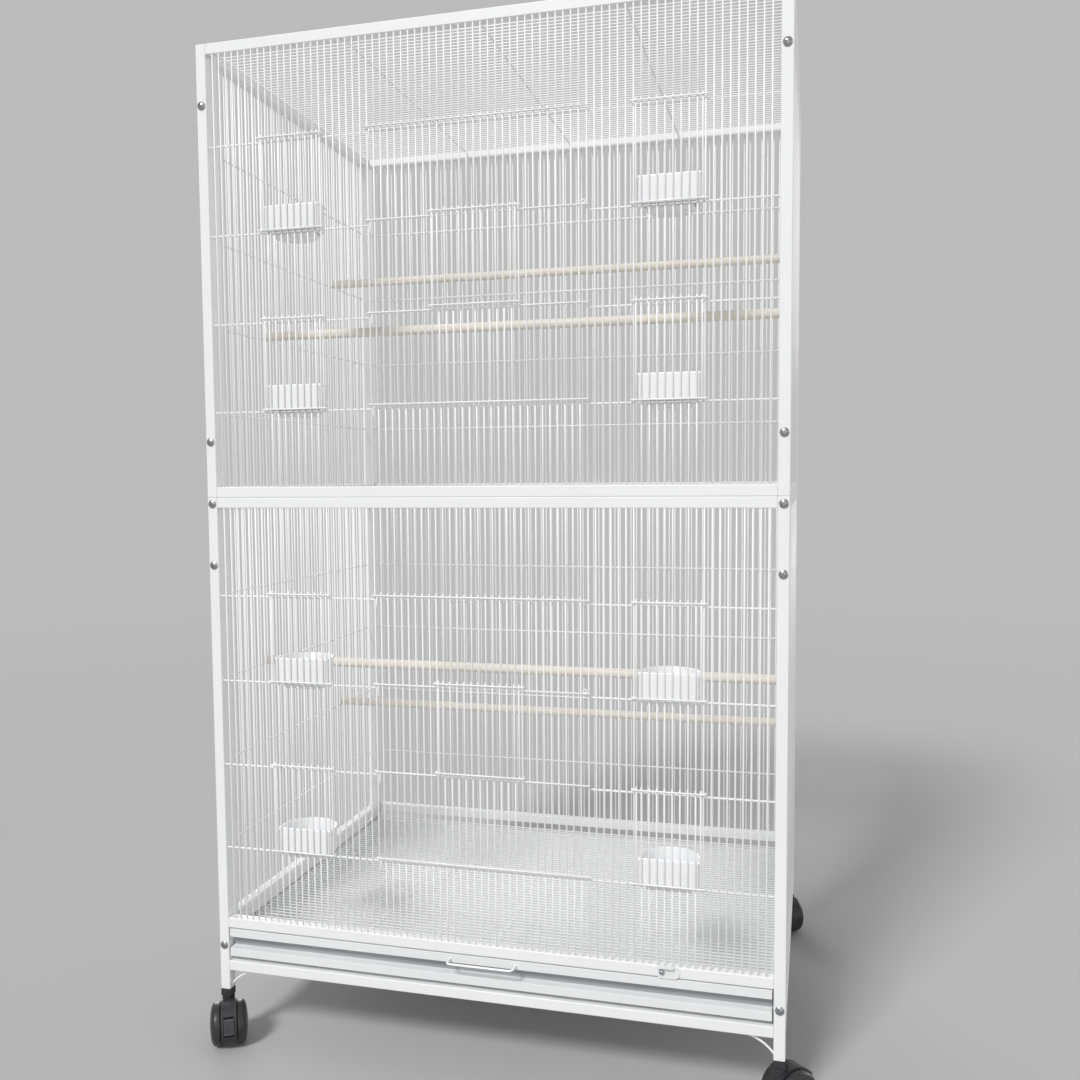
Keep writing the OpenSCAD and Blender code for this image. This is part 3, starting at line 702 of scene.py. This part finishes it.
def perch(node):
    bm = bmesh.new()
    lo, hi = low(node), high(node)
    radius = (hi.y - lo.y) / 2
    y, z = (lo.y + hi.y) / 2, hi.z - radius
    ends = [(lo.x, y, z), (hi.x, y, z)]
    tube_along(bm, ends, radius, sides=PERCH_SIDES, chamfer=PERCH_CHAMFER)
    obj = finish(node + "_dowel", bm, WOOD, "cage", [node])
    obj.data.set_sharp_from_angle(angle=math.radians(SHARP_ANGLE))


for node in ("upper_back_perch", "upper_front_perch", "lower_front_perch", "lower_back_perch"):
    perch(node)


# Solids of the part that are only shaded and painted

CORNERS = ("front_left", "front_right", "back_left", "back_right")

for node in ("cup_rings", "leg_braces", "tray_handle"):
    dress_node(node, COAT)
for node in ("tray_runners", "latch_tab"):
    dress_node(node, SHEET, 0.3 * MM)
dress_node("screws", ZINC)
dress_node("leg_plugs", HOOD, 0.6 * MM)
for corner in CORNERS:
    dress_node(corner + "_hood", HOOD, 1.2 * MM, 3, 40)
for side in ("left", "right"):
    dress_node(side + "_brake_lever", LEVER, 0.6 * MM)


# Tray: folded front with a strip, a groove and a face, shallow walls with folded rims

SHEET_T = 1.5 * MM
GROOVE_BACK = 12 * MM
STRIP_H = 10.5 * MM
GROOVE_H = 17 * MM
LEDGE_H = 1.5 * MM
LIP_LIFT = 5 * MM
TRAY_WALL = 33 * MM
TRAY_RIM = 4 * MM
TRAY_ROUND = 0.5 * MM


def tray():
    lo, hi = low("tray"), high("tray")
    t, g = SHEET_T, GROOVE_BACK
    strip = hi.z - STRIP_H
    ledge = strip - GROOVE_H
    face = ledge - LEDGE_H
    foot = lo.z + LIP_LIFT
    # (depth, height) round the folded sheet, up the outside and down the inside
    profile = [
        (g, lo.z), (g, foot), (0, foot), (0, face), (g, ledge), (g, strip - t), (0, strip - t),
        (0, hi.z), (g, hi.z), (g, hi.z - t), (t, hi.z - t), (t, strip), (g + t, strip),
        (g + t, ledge - t), (t, face - t), (t, foot + t), (g + t, foot + t), (g + t, lo.z),
    ]
    bm = bmesh.new()
    rings_to_mesh(bm, [[Vector((x, lo.y + y, z)) for y, z in profile] for x in (lo.x, hi.x)])
    inside = lo.y + g
    rim = lo.z + TRAY_WALL
    block(bm, (lo.x, inside + t, lo.z), (hi.x, hi.y, lo.z + t))
    block(bm, (lo.x, hi.y - t, lo.z + t), (hi.x, hi.y, rim))
    for x in (lo.x, hi.x - t):
        block(bm, (x, inside + t, lo.z + t), (x + t, hi.y - t, rim - t))
    for x in (lo.x, hi.x - TRAY_RIM):
        block(bm, (x, inside + t, rim - t), (x + TRAY_RIM, hi.y - t, rim))
    obj = finish("tray_sheet", bm, SHEET, "tray", ["tray"], TRAY_ROUND)
    # Painted shade: the groove's back wall gets a dark grey that stands in for the shade under the
    # strip and the dark reflection in the recess
    obj.data.materials.append(GROOVE_PAINTED_SHADE)
    for poly in obj.data.polygons:
        faces_front = poly.normal.y < -0.9
        at_back = abs(poly.center.y - inside) < 0.1 * MM
        if faces_front and at_back and ledge < poly.center.z < strip:
            poly.material_index = 1


tray()


# Twin wheels, turned to their casters

WHEEL_R = 30.5 * MM
WHEEL_HALF = 27 * MM
WHEEL_INSIDE = 11.6 * MM
WHEEL_SIDES = 64
WHEEL_SHARP_ANGLE = 28
AXLE_R = 3 * MM
AXLE_HALF = 1.2 * WHEEL_INSIDE
AXLE_SIDES = 24


def lathe(bm, profile, place):
    """Turns (distance along X, radius) pairs round the X axis and puts them at place."""
    rings = []
    for along, radius in profile:
        rings.append([
            place @ Vector((along, radius * math.cos(a), radius * math.sin(a)))
            for a in circle(WHEEL_SIDES)
        ])
    rings_to_mesh(bm, rings)


def wheel_profile():
    """From the inner face over the tread to the middle of the crowned cover."""
    a, r, w = WHEEL_INSIDE, WHEEL_R, WHEEL_HALF - WHEEL_INSIDE
    cover = 0.8 * r
    crown = cover - 0.5 * MM
    points = [
        (a, AXLE_R), (a, r - 1.6 * MM), (a + 0.4 * MM, r - 0.5 * MM), (a + 1.3 * MM, r),
        (a + 0.45 * w, r), (a + 0.52 * w, r - 0.4 * MM), (a + 0.62 * w, r - 1.3 * MM),
        (a + 0.73 * w, r * 0.9), (a + 0.8 * w, cover + 0.9 * MM), (a + 0.78 * w, cover + 0.5 * MM),
        (a + 0.78 * w, cover), (a + 0.84 * w, crown),
    ]
    for i in range(1, 8):
        t = i / 8
        points.append((a + w * (0.84 + 0.16 * math.sin(t * math.pi / 2)), crown * (1 - t)))
    points.append((a + w, 0.1 * MM))
    return points


def twin_wheels(corner):
    joint = next(j for j in frame["joints"] if j["name"] == corner + "_spin")
    axis = Vector(joint["axis"])
    centre = Vector(joint["pos_m"])
    turn = Vector((1, 0, 0)).rotation_difference(axis).to_matrix().to_4x4()
    for side in (-1, 1):
        bm = bmesh.new()
        place = Matrix.Translation(centre) @ turn @ Matrix.Diagonal((side, 1, 1, 1))
        lathe(bm, wheel_profile(), place)
        name = f"{corner}_wheel_{'left' if side < 0 else 'right'}"
        obj = finish(name, bm, WHEEL, corner + "_wheels", [corner + "_wheels"])
        obj.data.set_sharp_from_angle(angle=math.radians(WHEEL_SHARP_ANGLE))
    bm = bmesh.new()
    tube_along(bm, [centre - axis * AXLE_HALF, centre + axis * AXLE_HALF], AXLE_R, sides=AXLE_SIDES)
    finish(corner + "_axle", bm, ZINC, corner + "_wheels", [corner + "_wheels"])


for corner in CORNERS:
    twin_wheels(corner)


# Stage: pale floor, pale backdrop, soft light

FLOOR_SIZE = 60
FLOOR_COLOUR = (0.485, 0.485, 0.483)
BACKDROP = (0.5, 0.5, 0.498)
FADE_START, FADE_END = 1.5, 6.0
WORLD_LIGHT = 0.4
LAMP_DISTANCE = 3
# Name, azimuth from the front (positive to the right), elevation, breadth, strength
LAMPS = (
    ("key", -18, 43, 13, 2.05),
    ("front_fill", 15, 4, 50, 0.4),
    ("right_fill", 75, 5, 40, 0.25),
    ("back_left", -145, 14, 30, 0.9),
    ("back_right", 140, 14, 30, 0.5),
)


def pale_floor():
    """Diffuse near the cage, fading into the backdrop far away, so that no horizon shows."""
    mat = bpy.data.materials.new("pale_floor")
    mat.use_nodes = True
    tree = mat.node_tree
    tree.nodes.remove(tree.nodes["Principled BSDF"])
    near = tree.nodes.new("ShaderNodeBsdfDiffuse")
    near.inputs["Color"].default_value = (*FLOOR_COLOUR, 1)
    far = tree.nodes.new("ShaderNodeEmission")
    far.inputs["Color"].default_value = (*BACKDROP, 1)
    far.inputs["Strength"].default_value = 1.0
    place = tree.nodes.new("ShaderNodeTexCoord")
    distance = tree.nodes.new("ShaderNodeVectorMath")
    distance.operation = "LENGTH"
    fade = tree.nodes.new("ShaderNodeMapRange")
    fade.interpolation_type = "SMOOTHSTEP"
    fade.inputs["From Min"].default_value = FADE_START
    fade.inputs["From Max"].default_value = FADE_END
    blend = tree.nodes.new("ShaderNodeMixShader")
    tree.links.new(place.outputs["Object"], distance.inputs[0])
    tree.links.new(distance.outputs["Value"], fade.inputs["Value"])
    tree.links.new(fade.outputs["Result"], blend.inputs["Fac"])
    tree.links.new(near.outputs["BSDF"], blend.inputs[1])
    tree.links.new(far.outputs["Emission"], blend.inputs[2])
    tree.links.new(blend.outputs["Shader"], tree.nodes["Material Output"].inputs["Surface"])
    return mat


def floor():
    mesh = bpy.data.meshes.new("floor")
    h = FLOOR_SIZE / 2
    mesh.from_pydata([(-h, -h, 0), (h, -h, 0), (h, h, 0), (-h, h, 0)], [], [(0, 1, 2, 3)])
    mesh.materials.append(pale_floor())
    obj = bpy.data.objects.new("floor", mesh)
    bpy.context.scene.collection.objects.link(obj)


def soft_world():
    """Lights everything evenly, while the camera and reflections see the plain backdrop."""
    world = bpy.data.worlds.new("soft_world")
    world.use_nodes = True
    bpy.context.scene.world = world
    tree = world.node_tree
    light = tree.nodes["Background"]
    light.inputs["Color"].default_value = (1.0, 1.0, 1.0, 1)
    light.inputs["Strength"].default_value = WORLD_LIGHT
    backdrop = tree.nodes.new("ShaderNodeBackground")
    backdrop.inputs["Color"].default_value = (*BACKDROP, 1)
    backdrop.inputs["Strength"].default_value = 1.0
    path = tree.nodes.new("ShaderNodeLightPath")
    seen = path.outputs["Is Camera Ray"]
    for kind in ("Is Glossy Ray", "Is Transmission Ray"):
        either = tree.nodes.new("ShaderNodeMath")
        either.operation = "MAXIMUM"
        tree.links.new(seen, either.inputs[0])
        tree.links.new(path.outputs[kind], either.inputs[1])
        seen = either.outputs["Value"]
    choose = tree.nodes.new("ShaderNodeMixShader")
    tree.links.new(seen, choose.inputs["Fac"])
    tree.links.new(light.outputs["Background"], choose.inputs[1])
    tree.links.new(backdrop.outputs["Background"], choose.inputs[2])
    tree.links.new(choose.outputs["Shader"], tree.nodes["World Output"].inputs["Surface"])


def sun(name, azimuth, elevation, breadth, strength):
    """A broad lamp, placed by angles in degrees."""
    a, e = math.radians(azimuth), math.radians(elevation)
    toward = Vector((math.sin(a) * math.cos(e), -math.cos(a) * math.cos(e), math.sin(e)))
    data = bpy.data.lights.new(name, "SUN")
    data.angle = math.radians(breadth)
    data.energy = strength
    obj = bpy.data.objects.new(name, data)
    obj.rotation_euler = toward.to_track_quat("Z", "Y").to_euler()
    obj.location = toward * LAMP_DISTANCE
    bpy.context.scene.collection.objects.link(obj)


floor()
soft_world()
for lamp in LAMPS:
    sun(*lamp)


# Camera at the photograph's place, fitted to the cage's corners and wires

CAMERA_PLACE = (0.4337, -1.646, 0.8258)
CAMERA_YAW = 15.07
CAMERA_DOWN = 3.85
CAMERA_ROLL = -0.44
CAMERA_LENS = 35.53
CAMERA_SENSOR = 36
CAMERA_SHIFT = (0.0116, 0.0083)
CAMERA_CLIP = 0.05

camera_data = bpy.data.cameras.new("camera")
camera_data.lens = CAMERA_LENS
camera_data.sensor_width = CAMERA_SENSOR
camera_data.shift_x, camera_data.shift_y = CAMERA_SHIFT
camera_data.clip_start = CAMERA_CLIP
camera = bpy.data.objects.new("camera", camera_data)
camera.matrix_world = (
    Matrix.Translation(CAMERA_PLACE)
    @ Matrix.Rotation(math.radians(CAMERA_YAW), 4, "Z")
    @ Matrix.Rotation(math.radians(90 - CAMERA_DOWN), 4, "X")
    @ Matrix.Rotation(math.radians(CAMERA_ROLL), 4, "Z")
)
bpy.context.scene.collection.objects.link(camera)
bpy.context.scene.camera = camera
bpy.context.scene.view_settings.view_transform = "Standard"
